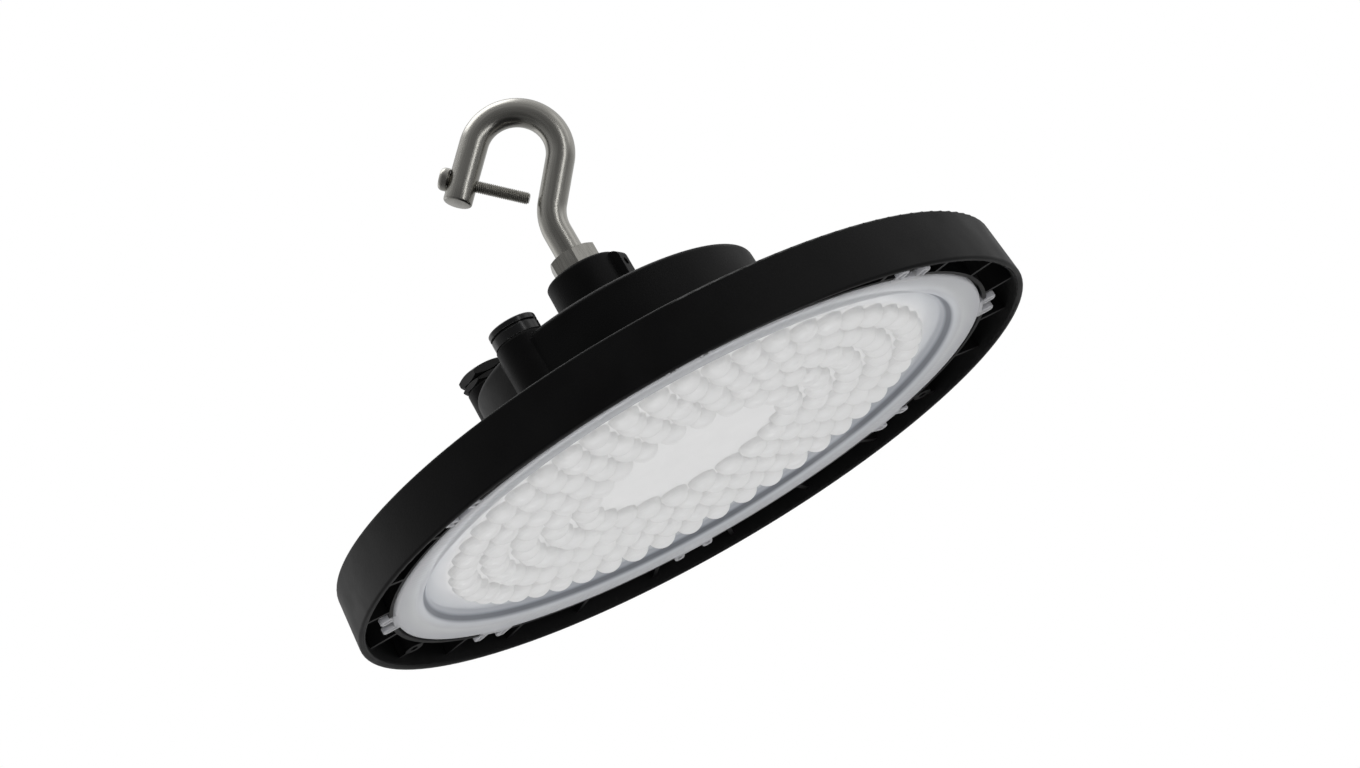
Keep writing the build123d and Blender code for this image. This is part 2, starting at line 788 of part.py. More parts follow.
nodes = {
    "heat_sink": heat_sink(),
    "driver_housing": driver_housing(),
    "housing_gasket": housing_gasket(),
    "housing_screws": housing_screws(),
    "hook": hook(),
    "hook_lock_nut": hook_lock_nut(),
    "hook_safety_screw": hook_safety_screw(),
    "hook_set_screw": hook_set_screw(),
    "sensor_port_cap": sensor_port_cap(),
    "sensor_port_seal": port_seal(sensor_port_angle, sensor_port_top),
    "supply_gland_body": supply_gland_body(),
    "supply_gland_nut": supply_gland_nut(),
    "supply_gland_seal": supply_gland_seal(),
    "supply_gland_washer": port_seal(supply_port_angle, supply_port_top),
    "lens_cover": lens_cover(),
    "lens_gasket": lens_gasket(),
    "led_board": led_board(),
    "led_chips": led_chips(),
    "board_screws": board_screws(),
    "lead_grommet": lead_grommet(),
    "led_leads": led_leads(),
    "insulation_sheet": insulation_sheet(),
    "driver_board": driver_board(),
    "driver_screws": driver_screws(),
    "driver_transformer": driver_transformer(),
    "driver_capacitors": driver_capacitors(),
    "driver_choke": driver_choke(),
    "driver_film_capacitor": driver_film_capacitor(),
    "driver_terminal_block": driver_terminal_block(),
}

for name, shape in nodes.items():
    export_step(shape, f"parts/{name}.step")
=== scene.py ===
import json
from math import atan2, cos, floor, pi, radians, sin, sqrt, tan

import bpy
from mathutils import Matrix, Vector

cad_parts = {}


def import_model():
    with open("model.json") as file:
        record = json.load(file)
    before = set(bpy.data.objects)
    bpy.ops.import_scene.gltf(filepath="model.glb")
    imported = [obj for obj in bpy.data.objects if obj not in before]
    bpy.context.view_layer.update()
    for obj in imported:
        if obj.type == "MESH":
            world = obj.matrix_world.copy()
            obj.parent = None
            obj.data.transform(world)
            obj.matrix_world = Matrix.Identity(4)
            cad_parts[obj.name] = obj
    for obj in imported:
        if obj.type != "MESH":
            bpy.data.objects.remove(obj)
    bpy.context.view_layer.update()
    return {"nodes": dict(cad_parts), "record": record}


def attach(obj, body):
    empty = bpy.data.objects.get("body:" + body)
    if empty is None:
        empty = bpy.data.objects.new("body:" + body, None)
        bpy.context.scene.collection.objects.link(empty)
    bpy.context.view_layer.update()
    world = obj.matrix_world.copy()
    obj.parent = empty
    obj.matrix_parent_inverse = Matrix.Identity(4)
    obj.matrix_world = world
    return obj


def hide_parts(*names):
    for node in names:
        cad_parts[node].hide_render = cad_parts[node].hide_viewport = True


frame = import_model()
nodes = frame["nodes"]
MM = 0.001

# Camera fitted to the photograph. The light hangs plumb and the picture is rolled.
FOCAL_SHARE = 3898.5 / 1360.0
ROLL = radians(-30.208)
PITCH = radians(15.1025)
TURN = radians(-8.0)
TARGET = Vector((6.446, -34.64, -1542.7)) * MM

# Lens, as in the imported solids
LENS_RADIUS = 132.0
LENS_STEPS = 288
LENS_FACE = 3.5
LENS_BACK_OF_FLANGE = 6.1
LENS_FLOOR = 8.1
LENS_BACK = 10.1
FIELD_RADIUS = 109.2
FLOOR_RADIUS = 116.5
STEP_RADIUS = 120.0
BACK_STEP_LOW = 121.2
BACK_STEP_TOP = 117.6
RIB_START = 123.4
RIB_END = 130.4
RIB_COUNT = 1080
RIB_RELIEF = 0.16
DISH_RADIUS = 38.0
DISH_DEPTH = 1.6
RING_COUNT = 5
FIRST_RING = 46.0
RING_PITCH = 13.7
BUBBLE_PITCH = 13.1
BUBBLE_RADIUS = 6.35
BUBBLE_HEIGHT = 5.7
BUBBLE_WALL = 1.3
CELL_GAP = 0.25
TAB_PAIRS = 8
TAB_SPREAD = 13.6
TAB_WIDTH = 4.6
TAB_REACH = 6.7
TAB_ROOT = 1.4
TAB_WALL = 1.2
TAB_ROUND = 1.6
TAB_EDGE = 0.3

# Hook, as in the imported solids
BAR = 12.0
EYE_RADIUS = 17.9
EYE_X = 1.5
EYE_Z = 152.6
NECK_ANGLE = radians(52.0)
BEND_RADIUS = 20.0
TIP_ANGLE = radians(47.0)
TIP_LENGTH = 26.5
FOOT_Z = 66.0
HOLE_SETBACK = 9.0
SCREW_RADIUS = 2.5
SCREW_LENGTH = 34.0
SCREW_PITCH = 0.8
THREAD_DEPTH = 0.42
HEAD_RADIUS = 4.8
HEAD_HEIGHT = 3.6
HEAD_SIDE = 1.5
HEAD_ROUND = 1.7
RECESS_DEPTH = 1.9
RECESS_REACH = 2.4
RECESS_HALF_WIDTH = 0.52

# Tone and cover of the lens plastic, by the distance from the axis. The tones are painted shade: nearly
# white over the board, greyer on the step, dark where the step turns down and light again on the flange,
# greying to its edge; the greys stand in for the dark pan seen through the clear plastic and for the shade
# in the step
# Painted shade: a dark band for the dark pan seen through the clear wall and the shade where the step
# turns down
WALL_PAINTED_SHADE = (0.17, 0.18, 0.2)
LENS_PAINTED_SHADE_TONES = (
    (106.0, (1.0, 1.0, 1.0)),
    (108.0, (0.76, 0.77, 0.79)),
    (112.0, (0.66, 0.675, 0.705)),
    (117.0, (0.54, 0.56, 0.6)),
    # painted shade: the dark pan behind the wall and the shade in the step
    (117.7, WALL_PAINTED_SHADE),
    (119.2, WALL_PAINTED_SHADE),
    (120.0, (0.5, 0.515, 0.545)),
    (124.0, (0.64, 0.65, 0.67)),
    (127.0, (0.56, 0.57, 0.59)),
    (130.2, (0.5, 0.51, 0.53)),
    (132.0, (0.42, 0.42, 0.44)),
)
LENS_COVER = (
    (105.0, 0.88),
    (109.0, 0.7),
    (116.8, 0.7),
    (117.6, 0.92),
    (119.4, 0.92),
    (122.5, 0.62),
    (130.5, 0.66),
)
BUBBLE_SHADING = 0.2


# Materials


def new_material(name, **values):
    """Makes a material and sets the plain values on its shader."""
    mat = bpy.data.materials.new(name)
    mat.use_nodes = True
    shader = mat.node_tree.nodes["Principled BSDF"]
    for socket, value in values.items():
        shader.inputs[socket.replace("_", " ")].default_value = value
    return mat, mat.node_tree, shader


def add(tree, kind, **settings):
    """Adds a node; settings in capitals set inputs by name, the others set properties."""
    node = tree.nodes.new("ShaderNode" + kind)
    for key, value in settings.items():
        if key[0].isupper():
            node.inputs[key.replace("_", " ")].default_value = value
        else:
            setattr(node, key, value)
    return node


def noise(tree, scale, detail=3.0, stretch=(1.0, 1.0, 1.0), source="Object"):
    """Gives a noise pattern whose scale is in features per metre."""
    place = add(tree, "TexCoord")
    mapping = add(tree, "Mapping", Scale=stretch)
    tree.links.new(place.outputs[source], mapping.inputs["Vector"])
    pattern = add(tree, "TexNoise", Scale=scale, Detail=detail)
    tree.links.new(mapping.outputs["Vector"], pattern.inputs["Vector"])
    return pattern.outputs["Fac"]


def ramp(tree, source, low, high, at=(0.3, 0.7)):
    """Blends two colours along a pattern."""
    node = add(tree, "ValToRGB")
    node.color_ramp.elements[0].position = at[0]
    node.color_ramp.elements[1].position = at[1]
    node.color_ramp.elements[0].color = (*low, 1.0)
    node.color_ramp.elements[1].color = (*high, 1.0)
    tree.links.new(source, node.inputs["Fac"])
    return node.outputs["Color"]


def span(tree, source, low, high, at=(0.3, 0.7)):
    """Maps a pattern onto a range of values."""
    node = add(tree, "MapRange", From_Min=at[0], From_Max=at[1], To_Min=low, To_Max=high)
    tree.links.new(source, node.inputs["Value"])
    return node.outputs["Result"]


def bump(tree, source, depth, normal=None):
    """Turns a pattern into relief of a depth in metres."""
    node = add(tree, "Bump", Strength=1.0, Distance=depth)
    tree.links.new(source, node.inputs["Height"])
    if normal is not None:
        tree.links.new(normal, node.inputs["Normal"])
    return node.outputs["Normal"]


def surface(name, base, spread, rough, grain, depth, blotch=60.0, rounding=0.0, **values):
    """Makes a general moulded, cast or coated surface: blotches, sheen changes and grain."""
    mat, tree, shader = new_material(name, **values)
    tone = noise(tree, blotch, 4.0)
    low = tuple(max(0.0, c * (1 - spread)) for c in base)
    high = tuple(min(1.0, c * (1 + spread)) for c in base)
    tree.links.new(ramp(tree, tone, low, high), shader.inputs["Base Color"])
    fine = noise(tree, grain, 2.0)
    tree.links.new(span(tree, tone, rough[0], rough[1]), shader.inputs["Roughness"])
    soft = None
    if rounding:
        soft = add(tree, "Bevel", Radius=rounding, samples=4).outputs["Normal"]
    tree.links.new(bump(tree, fine, depth, soft), shader.inputs["Normal"])
    return mat


def powder_coat():
    """Black powder coat on cast aluminium, with its fine orange peel."""
    return surface(
        "powder_coat",
        (0.003, 0.003, 0.0032),
        0.25,
        (0.42, 0.52),
        1500.0,
        0.00006,
        rounding=0.0004,
        Specular_IOR_Level=0.15,
    )


def drawn_steel(name, source, stretch, base=(0.5, 0.49, 0.455)):
    """Stainless steel with fine lines along the way it was drawn or turned."""
    mat, tree, shader = new_material(name, Metallic=1.0)
    lines = noise(tree, 1.0, 5.0, stretch, source)
    low = tuple(c * 0.84 for c in base)
    high = tuple(c * 1.1 for c in base)
    tree.links.new(ramp(tree, lines, low, high), shader.inputs["Base Color"])
    tree.links.new(span(tree, lines, 0.24, 0.31), shader.inputs["Roughness"])
    tree.links.new(bump(tree, lines, 0.0000003), shader.inputs["Normal"])
    return mat


def radial_ramp(tree, stops):
    """Gives a colour that changes with the distance from the axis, in millimetres."""
    place = add(tree, "TexCoord")
    flat = add(tree, "VectorMath", operation="MULTIPLY")
    flat.inputs[1].default_value = (1.0, 1.0, 0.0)
    tree.links.new(place.outputs["Object"], flat.inputs[0])
    length = add(tree, "VectorMath", operation="LENGTH")
    tree.links.new(flat.outputs[0], length.inputs[0])
    share = add(tree, "MapRange", From_Min=0.0, From_Max=LENS_RADIUS * 1.1 * MM)
    tree.links.new(length.outputs["Value"], share.inputs["Value"])
    node = add(tree, "ValToRGB")
    elements = node.color_ramp.elements
    while len(elements) < len(stops):
        elements.new(0.5)
    for element, (radius, _) in zip(elements, stops):
        element.position = radius / (LENS_RADIUS * 1.1)
    for element, (_, colour) in zip(elements, stops):
        element.color = (*colour, 1.0)
    tree.links.new(share.outputs["Result"], node.inputs["Fac"])
    return node.outputs["Color"]


def clear_plastic():
    """Clear lens plastic: the bubbles scatter light evenly, under a glossy skin of their own form; its
    colour carries painted shade in rings about the axis.
    """
    mat, tree, shader = new_material(
        "clear_plastic",
        IOR=1.49,
        Specular_IOR_Level=0.0,
        Subsurface_Weight=1.0,
        Subsurface_Radius=(1.0, 1.0, 1.0),
        Subsurface_Scale=0.006,
        Coat_Weight=0.3,
        Coat_Roughness=0.15,
        Coat_IOR=1.6,
    )
    haze = noise(tree, 90.0, 3.0)
    tint = ramp(tree, haze, (0.95, 0.955, 0.965), (0.97, 0.975, 0.985))
    shade = add(tree, "VectorMath", operation="MULTIPLY")
    tree.links.new(tint, shade.inputs[0])
    # the base colour takes the painted shade bands, in rings about the axis
    tree.links.new(radial_ramp(tree, LENS_PAINTED_SHADE_TONES), shade.inputs[1])
    tree.links.new(shade.outputs[0], shader.inputs["Base Color"])
    tree.links.new(span(tree, haze, 0.4, 0.5), shader.inputs["Roughness"])
    cover = [(radius, (value, value, value)) for radius, value in LENS_COVER]
    tree.links.new(radial_ramp(tree, cover), shader.inputs["Alpha"])
    true_normal = add(tree, "TexCoord").outputs["Normal"]
    flatter = add(tree, "VectorMath", operation="MULTIPLY_ADD")
    flatter.inputs[1].default_value = (BUBBLE_SHADING, BUBBLE_SHADING, BUBBLE_SHADING)
    flatter.inputs[2].default_value = (0.0, 0.0, BUBBLE_SHADING - 1.0)
    tree.links.new(true_normal, flatter.inputs[0])
    turned = add(tree, "VectorTransform", vector_type="NORMAL", convert_from="OBJECT", convert_to="WORLD")
    tree.links.new(flatter.outputs[0], turned.inputs[0])
    even = add(tree, "VectorMath", operation="NORMALIZE")
    tree.links.new(turned.outputs[0], even.inputs[0])
    tree.links.new(even.outputs[0], shader.inputs["Normal"])
    tree.links.new(add(tree, "NewGeometry").outputs["Normal"], shader.inputs["Coat Normal"])
    return mat


def glossy_cap():
    """Glossy black moulded plastic."""
    base = (0.006, 0.006, 0.0065)
    return surface("glossy_cap", base, 0.2, (0.16, 0.24), 900.0, 0.000008, rounding=0.0002)


def gland_plastic():
    """Satin black plastic of the gland's hexagons."""
    base = (0.008, 0.008, 0.008)
    return surface("gland_plastic", base, 0.2, (0.38, 0.5), 2200.0, 0.00002, rounding=0.0003)


materials = {
    "black_coating": powder_coat(),
    "black_plastic": glossy_cap(),
    "stainless": drawn_steel("turned_steel", "Object", (900.0, 900.0, 120.0)),
    "lens_plastic": clear_plastic(),
    "gland_plastic": gland_plastic(),
    "seal_rubber": surface("seal_rubber", (0.012, 0.012, 0.012), 0.25, (0.65, 0.8), 1800.0, 0.00002),
    "silicone": surface("silicone", (0.72, 0.72, 0.71), 0.03, (0.5, 0.6), 900.0, 0.00002),
    "white_board": surface("white_board", (0.86, 0.86, 0.855), 0.015, (0.3, 0.4), 1200.0, 0.00001),
    "phosphor": surface("phosphor", (0.86, 0.83, 0.68), 0.03, (0.3, 0.45), 1500.0, 0.00001),
    "zinc_steel": drawn_steel("zinc_steel", "Object", (700.0, 700.0, 700.0), (0.42, 0.42, 0.43)),
    "wire_sleeve": surface("wire_sleeve", (0.7, 0.7, 0.68), 0.05, (0.4, 0.5), 900.0, 0.00001),
    "insulating_film": surface("insulating_film", (0.7, 0.64, 0.42), 0.06, (0.3, 0.42), 500.0, 0.00001),
    "green_board": surface("green_board", (0.025, 0.15, 0.06), 0.15, (0.3, 0.42), 900.0, 0.00001),
    "ferrite": surface("ferrite", (0.035, 0.035, 0.038), 0.25, (0.5, 0.7), 1500.0, 0.00004),
    "capacitor_sleeve": surface("capacitor_sleeve", (0.03, 0.035, 0.07), 0.1, (0.2, 0.3), 600.0, 0.00001),
    "film_capacitor": surface("film_capacitor", (0.42, 0.33, 0.04), 0.08, (0.3, 0.4), 800.0, 0.00001),
    "terminal_plastic": surface("terminal_plastic", (0.07, 0.23, 0.09), 0.08, (0.35, 0.5), 900.0, 0.00002),
}
bar_steel = drawn_steel("drawn_bar", "UV", (42.0, 3.0, 1.0))


# Mesh helpers


class Shape:
    """Collects points in millimetres and faces, and merges points that fall together."""

    def __init__(self):
        self.points = []
        self.faces = []
        self.found = {}

    def point(self, x, y, z):
        key = (round(x, 3), round(y, 3), round(z, 3))
        if key not in self.found:
            self.found[key] = len(self.points)
            self.points.append((x, y, z))
        return self.found[key]

    def face(self, *corners):
        ring = [c for i, c in enumerate(corners) if c != corners[i - 1]]
        if len(set(ring)) == len(ring) > 2:
            self.faces.append(ring)

    def skin(self, first, second):
        """Joins two rings of the same number of points."""
        count = len(first)
        for i in range(count):
            j = (i + 1) % count
            self.face(first[i], first[j], second[j], second[i])

    def zip(self, first, second):
        """Joins two closed rings about the axis that have different numbers of points."""

        def sweep(ring):
            angles = [(atan2(self.points[p][1], self.points[p][0]) % (2 * pi), p) for p in ring]
            return sorted(angles)

        a = sweep(first)
        b = sweep(second)
        i = 0
        j = 0
        while i < len(a) or j < len(b):
            next_a = a[(i + 1) % len(a)][0] + (2 * pi if i + 1 >= len(a) else 0)
            next_b = b[(j + 1) % len(b)][0] + (2 * pi if j + 1 >= len(b) else 0)
            if j >= len(b) or (i < len(a) and next_a <= next_b):
                self.face(a[i % len(a)][1], a[(i + 1) % len(a)][1], b[j % len(b)][1])
                i += 1
            else:
                self.face(a[i % len(a)][1], b[(j + 1) % len(b)][1], b[j % len(b)][1])
                j += 1

    def ring(self, radius, height, count, first=0.0):
        """Adds a level circle of points about the axis."""
        steps = [first + 2 * pi * i / count for i in range(count)]
        return [self.point(radius * cos(t), radius * sin(t), height) for t in steps]

    def build(self, name, mat, sharp=35.0, place=None):
        """Makes the object, with its normals outward and its sharp edges kept."""
        mesh = bpy.data.meshes.new(name)
        mesh.from_pydata([Vector(p) * MM for p in self.points], [], self.faces)
        mesh.validate()
        obj = bpy.data.objects.new(name, mesh)
        bpy.context.scene.collection.objects.link(obj)
        if place is not None:
            mesh.transform(place)
        bpy.context.view_layer.objects.active = obj
        obj.select_set(True)
        bpy.ops.object.mode_set(mode="EDIT")
        bpy.ops.mesh.select_all(action="SELECT")
        bpy.ops.mesh.normals_make_consistent(inside=False)
        bpy.ops.object.mode_set(mode="OBJECT")
        obj.select_set(False)
        smooth(mesh, sharp)
        mesh.materials.append(mat)
        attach(obj, "root")
        return obj


def smooth(mesh, angle):
    """Shades a mesh smooth, apart from edges sharper than the angle."""
    for polygon in mesh.polygons:
        polygon.use_smooth = True
    mesh.set_sharp_from_angle(angle=radians(angle))


# Lens


def bubble_rings():
    """Gives radius and number of bubbles for each ring of the lens."""
    rings = []
    for step in range(RING_COUNT):
        radius = FIRST_RING + step * RING_PITCH
        rings.append((radius, floor(2 * pi * radius / BUBBLE_PITCH)))
    return rings


def cell_border(radius, centre, half_angle, half_width, steps):
    """Lists the border points of one bubble's cell, once round."""
    border = []
    for side in range(4):
        for step in range(steps):
            a = -1 + 2 * step / steps
            across, along = ((-1, a), (a, 1), (1, -a), (-a, -1))[side]
            r = radius + across * half_width
            t = centre + along * half_angle
            border.append((r * cos(t), r * sin(t)))
    return border


def bubble_field(shape, floor_z, dome_radius, dome_height, steps, levels, inner, outer):
    """Meshes a floor full of bubbles that joins an inner and an outer ring of points."""
    edge = inner
    half_width = RING_PITCH / 2 - CELL_GAP
    for radius, count in bubble_rings():
        half_angle = pi / count
        for index in range(count):
            centre = 2 * pi * index / count
            cx, cy = radius * cos(centre), radius * sin(centre)
            border = cell_border(radius, centre, half_angle, half_width, steps)
            last = [shape.point(x, y, floor_z) for x, y in border]
            ways = [atan2(y - cy, x - cx) for x, y in border]
            for level in range(levels):
                lift = (level / levels) * pi / 2
                r = dome_radius * cos(lift)
                z = floor_z - dome_height * sin(lift)
                now = [shape.point(cx + r * cos(w), cy + r * sin(w), z) for w in ways]
                shape.skin(last, now)
                last = now
            tip = shape.point(cx, cy, floor_z - dome_height)
            for i in range(len(last)):
                shape.face(last[i - 1], last[i], tip)
        around = count * steps
        shape.zip(edge, shape.ring(radius - half_width, floor_z, around, -half_angle))
        edge = shape.ring(radius + half_width, floor_z, around, -half_angle)
    shape.zip(edge, outer)


def lens_mesh():
    """Moulds the lens with round hollow bubbles, ribbed flange and stepped wall."""
    shape = Shape()
    count = LENS_STEPS
    face = [(DISH_RADIUS, LENS_FLOOR)]
    for step in range(1, 12):
        r = DISH_RADIUS * (1 - step / 12)
        face.append((r, LENS_FLOOR + DISH_DEPTH * (1 - (r / DISH_RADIUS) ** 2)))
    dish = [shape.ring(r, z, count) for r, z in face]
    for first, second in zip(dish, dish[1:]):
        shape.skin(first, second)
    middle = shape.point(0, 0, LENS_FLOOR + DISH_DEPTH)
    for i in range(count):
        shape.face(dish[-1][i - 1], dish[-1][i], middle)
    outline = [(FIELD_RADIUS, LENS_FLOOR), (FLOOR_RADIUS - 1.2, LENS_FLOOR)]
    outline += [(FLOOR_RADIUS - 0.5, LENS_FLOOR - 0.15), (FLOOR_RADIUS, LENS_FLOOR - 0.6)]
    outline += [(STEP_RADIUS - 0.9, LENS_FACE + 1.7), (STEP_RADIUS - 0.2, LENS_FACE + 0.85)]
    outline += [(STEP_RADIUS + 0.8, LENS_FACE + 0.3), (STEP_RADIUS + 2.4, LENS_FACE)]
    outline += [(RIB_START - 0.2, LENS_FACE)]
    rings = [shape.ring(r, z, count) for r, z in outline]
    for first, second in zip(rings, rings[1:]):
        shape.skin(first, second)
    bubble_field(shape, LENS_FLOOR, BUBBLE_RADIUS, BUBBLE_HEIGHT, 7, 7, dish[0], rings[0])
    steps = [2 * pi * i / RIB_COUNT for i in range(RIB_COUNT)]

    def rib_ring(radius, share):
        spots = []
        for i, t in enumerate(steps):
            lift = RIB_RELIEF * share * (i % 4 in (1, 2))
            spots.append(shape.point(radius * cos(t), radius * sin(t), LENS_FACE + lift))
        return spots

    last = rib_ring(RIB_START, 0)
    shape.zip(rings[-1], last)
    for radius, share in ((RIB_START + 0.4, 1), (RIB_END - 0.4, 1), (RIB_END, 0)):
        now = rib_ring(radius, share)
        shape.skin(last, now)
        last = now
    rim = [(RIB_END + 0.3, LENS_FACE), (LENS_RADIUS - 0.7, LENS_FACE + 0.07)]
    rim += [(LENS_RADIUS - 0.2, LENS_FACE + 0.4), (LENS_RADIUS, LENS_FACE + 0.9)]
    rim += [(LENS_RADIUS, LENS_BACK_OF_FLANGE), (BACK_STEP_LOW, LENS_BACK_OF_FLANGE)]
    rim += [(BACK_STEP_TOP, LENS_BACK), (FIELD_RADIUS, LENS_BACK)]
    rings = [shape.ring(r, z, count) for r, z in rim]
    shape.zip(last, rings[0])
    for first, second in zip(rings, rings[1:]):
        shape.skin(first, second)
    back_dish = [shape.ring(r, z + LENS_BACK - LENS_FLOOR, count) for r, z in face]
    for first, second in zip(back_dish, back_dish[1:]):
        shape.skin(first, second)
    middle = shape.point(0, 0, LENS_BACK + DISH_DEPTH)
    for i in range(count):
        shape.face(back_dish[-1][i - 1], back_dish[-1][i], middle)
    depth = LENS_BACK - LENS_FLOOR + BUBBLE_HEIGHT - BUBBLE_WALL
    bubble_field(shape, LENS_BACK, BUBBLE_RADIUS - BUBBLE_WALL, depth, 5, 5, back_dish[0], rings[-1])
    lens = shape.build("lens", materials["lens_plastic"], 40.0)
    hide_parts("lens_cover")
    lens.visible_shadow = False
    lens.visible_diffuse = False
    return lens


def tab_loop(low, high, half, rounding):
    """Lists the points of a rectangle beyond the lens edge whose outer corners are round."""
    spots = [(low, -half)]
    for corner in (-1, 1):
        for step in range(5):
            t = pi / 2 * (step / 4 if corner > 0 else 1 - step / 4)
            across = half - rounding + rounding * sin(t)
            spots.append((high - rounding + rounding * cos(t), corner * across))
    spots.append((low, half))
    return spots


def add_frame(shape, turn, side, low, high, half, rounding, window):
    """Adds one plate with soft edges, and a window in it where one is given."""
    edge = TAB_EDGE

    def loop(inset, z, hole=False):
        if hole:
            spots = tab_loop(*window, 0.3)
        else:
            spots = tab_loop(low, high - inset, half - inset, rounding - inset / 2)
        ring = []
        for x, w in spots:
            w += side
            ring.append(shape.point(x * cos(turn) - w * sin(turn), x * sin(turn) + w * cos(turn), z))
        return ring

    outer = [
        loop(edge, LENS_FACE),
        loop(0.0, LENS_FACE + edge),
        loop(0.0, LENS_BACK_OF_FLANGE - edge),
        loop(edge, LENS_BACK_OF_FLANGE),
    ]
    for first, second in zip(outer, outer[1:]):
        shape.skin(first, second)
    if window is None:
        shape.face(*outer[0])
        shape.face(*outer[-1])
        return
    inner = [loop(0, LENS_FACE, True), loop(0, LENS_BACK_OF_FLANGE, True)]
    shape.skin(inner[0], inner[1])
    shape.skin(outer[0], inner[0])
    shape.skin(outer[-1], inner[1])


def tab_meshes():
    """Makes the pairs of open edge tabs on their roots."""
    shape = Shape()
    half = TAB_WIDTH / 2
    for place in range(TAB_PAIRS):
        turn = 2 * pi * place / TAB_PAIRS
        root = (TAB_SPREAD + TAB_WIDTH) / 2
        add_frame(shape, turn, 0.0, LENS_RADIUS - 0.6, LENS_RADIUS + TAB_ROOT, root, 0.5, None)
        for side in (-1, 1):
            window = (LENS_RADIUS + TAB_ROOT, LENS_RADIUS + TAB_REACH - TAB_WALL, half - TAB_WALL)
            low = LENS_RADIUS + TAB_ROOT - 0.4
            high = LENS_RADIUS + TAB_REACH
            add_frame(shape, turn, side * TAB_SPREAD / 2, low, high, half, TAB_ROUND, window)
    return shape.build("lens_tabs", materials["lens_plastic"], 30.0)


# Hook and its screw


def arc(cx, cz, radius, start, end, steps):
    """Lists points and directions along an arc in the hook's plane."""
    way = 1 if end > start else -1
    spots = []
    for i in range(steps + 1):
        t = start + (end - start) * i / steps
        spots.append(((cx + radius * cos(t), cz + radius * sin(t)), (-way * sin(t), way * cos(t))))
    return spots


def hook_path():
    """Lists the points and directions of the hook's middle line, foot to tip."""
    start = NECK_ANGLE - pi / 2
    end = pi / 2 + TIP_ANGLE
    joint = (EYE_X + EYE_RADIUS * cos(start), EYE_Z + EYE_RADIUS * sin(start))
    corner = joint[1] - joint[0] * tan(NECK_ANGLE)
    setback = BEND_RADIUS * tan((pi / 2 - NECK_ANGLE) / 2)
    spots = [((0.0, FOOT_Z + i), (0.0, 1.0)) for i in (0, 15, 30)]
    spots += arc(BEND_RADIUS, corner - setback, BEND_RADIUS, pi, pi / 2 + NECK_ANGLE, 14)
    spots += arc(EYE_X, EYE_Z, EYE_RADIUS, start, end, 64)
    last, way = spots[-1]
    for share in (0.25, 0.5, 0.75, 1.0):
        reach = TIP_LENGTH * share
        spots.append(((last[0] + way[0] * reach, last[1] + way[1] * reach), way))
    return spots


def hook_mesh():
    """Sweeps the bar along its line, with a mapping that runs along it for the drawn lines."""
    spots = hook_path()
    around = 56
    rows = []
    length = 0.0
    for index, (spot, way) in enumerate(spots):
        if index:
            before = spots[index - 1][0]
            length += sqrt((spot[0] - before[0]) ** 2 + (spot[1] - before[1]) ** 2)
        rows.append((spot, way, BAR / 2, length))
    tip, way = spots[-1]
    rows.pop()
    edge = 1.0
    rows.append(((tip[0] - way[0] * edge, tip[1] - way[1] * edge), way, BAR / 2, length - edge))
    for step in range(1, 5):
        t = step / 4 * pi / 2
        back = edge * (1 - sin(t))
        spot = (tip[0] - way[0] * back, tip[1] - way[1] * back)
        rows.append((spot, way, BAR / 2 - edge * (1 - cos(t)), length))
    points = []
    maps = []
    for spot, way, radius, along in rows:
        for i in range(around):
            t = 2 * pi * i / around
            out = radius * cos(t)
            points.append(Vector((spot[0] - way[1] * out, radius * sin(t), spot[1] + way[0] * out)) * MM)
        maps.append(along)
    faces = []
    coords = []
    for row in range(len(rows) - 1):
        for i in range(around):
            j = (i + 1) % around
            here = row * around
            above = here + around
            faces.append((here + i, here + j, above + j, above + i))
            u0, u1 = i / around, (i + 1) / around
            v0, v1 = maps[row] / 100.0, maps[row + 1] / 100.0
            coords += [(u0, v0), (u1, v0), (u1, v1), (u0, v1)]
    base = (len(rows) - 1) * around
    for first, way_out in ((0, False), (base, True)):
        cap = [first + i for i in range(around)]
        faces.append(tuple(cap if way_out else reversed(cap)))
        for i in range(around):
            t = 2 * pi * i / around
            coords.append((0.5 + 0.06 * cos(t), 0.5 + 0.06 * sin(t)))
    mesh = bpy.data.meshes.new("hook_bar")
    mesh.from_pydata(points, [], faces)
    layer = mesh.uv_layers.new(name="UVMap")
    for loop, uv in zip(layer.data, coords):
        loop.uv = uv
    smooth(mesh, 50.0)
    mesh.materials.append(bar_steel)
    obj = bpy.data.objects.new("hook_bar", mesh)
    bpy.context.scene.collection.objects.link(obj)
    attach(obj, "root")
    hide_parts("hook")
    return obj


def screw_place():
    """Gives the matrix that lays the safety screw across the tip, with Z into the mouth."""
    spot, way = hook_path()[-1]
    centre = Vector((spot[0] - way[0] * HOLE_SETBACK, 0, spot[1] - way[1] * HOLE_SETBACK))
    inward = Vector((sin(TIP_ANGLE), 0, -cos(TIP_ANGLE)))
    side = Vector((0, 1, 0))
    cross = side.cross(inward)
    turn = Matrix((cross, side, inward)).transposed().to_4x4()
    start = centre - inward * (BAR / 2 + 0.1)
    return Matrix.Translation(start * MM) @ turn


